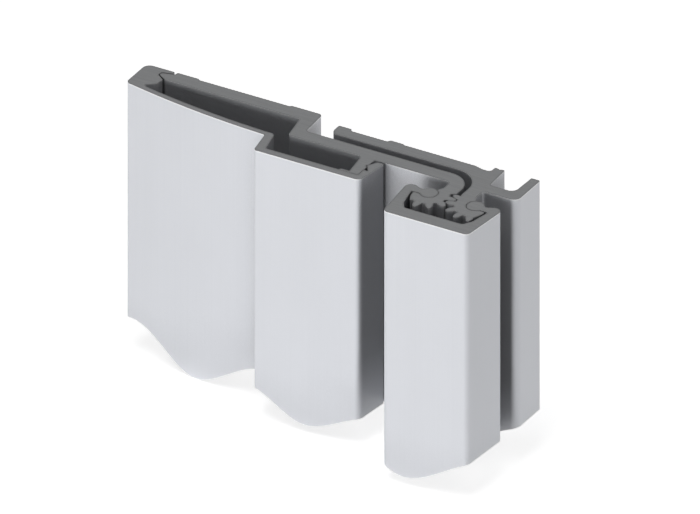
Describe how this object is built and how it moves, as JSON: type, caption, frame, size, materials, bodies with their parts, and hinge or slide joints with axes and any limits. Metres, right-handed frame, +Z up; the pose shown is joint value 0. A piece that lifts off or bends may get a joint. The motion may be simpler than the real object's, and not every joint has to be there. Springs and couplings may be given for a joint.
{
  "type": "continuous geared hinge",
  "caption": "Full-surface continuous geared hinge, short sample: frame leaf and hollow door leaf with meshed gear segments under a retaining cap, wavy cut lower end.",
  "frame": {"origin": "middle of the frame leaf's two screw holes, on the plate's back between its pads", "axes": "+Z up along the hinge, +Y into the frame and the door, +X from the door leaf's free edge towards the frame leaf's wing"},
  "size_m": [0.1144, 0.0341, 0.0773],
  "materials": {
    "frame_leaf": "clear anodised, fine satin",
    "door_leaf": "clear anodised, fine satin",
    "door_leaf_cover": "clear anodised, fine satin",
    "cap": "clear anodised, fine satin",
    "thrust_bearing": "natural acetal, matt"
  },
  "bodies": {
    "frame_leaf": {"frame_leaf": "frame_leaf"},
    "cap": {"cap": "cap", "thrust_bearing": "thrust_bearing"},
    "door_leaf": {"door_leaf": "door_leaf", "door_leaf_cover": "door_leaf_cover"}
  },
  "joints": [
    {"name": "cap_turn", "type": "hinge", "parent": "frame_leaf", "child": "cap", "pos_m": [0.04042, -0.01695, 0], "axis": [0, 0, 1], "range_deg": [0, 90]},
    {"name": "door_leaf_turn", "type": "hinge", "parent": "cap", "child": "door_leaf", "pos_m": [0.02698, -0.01695, 0], "axis": [0, 0, 1], "range_deg": [0, 90]}
  ],
  "couplings": [
    {"joint": "door_leaf_turn", "follows": "cap_turn", "ratio": 1}
  ]
}
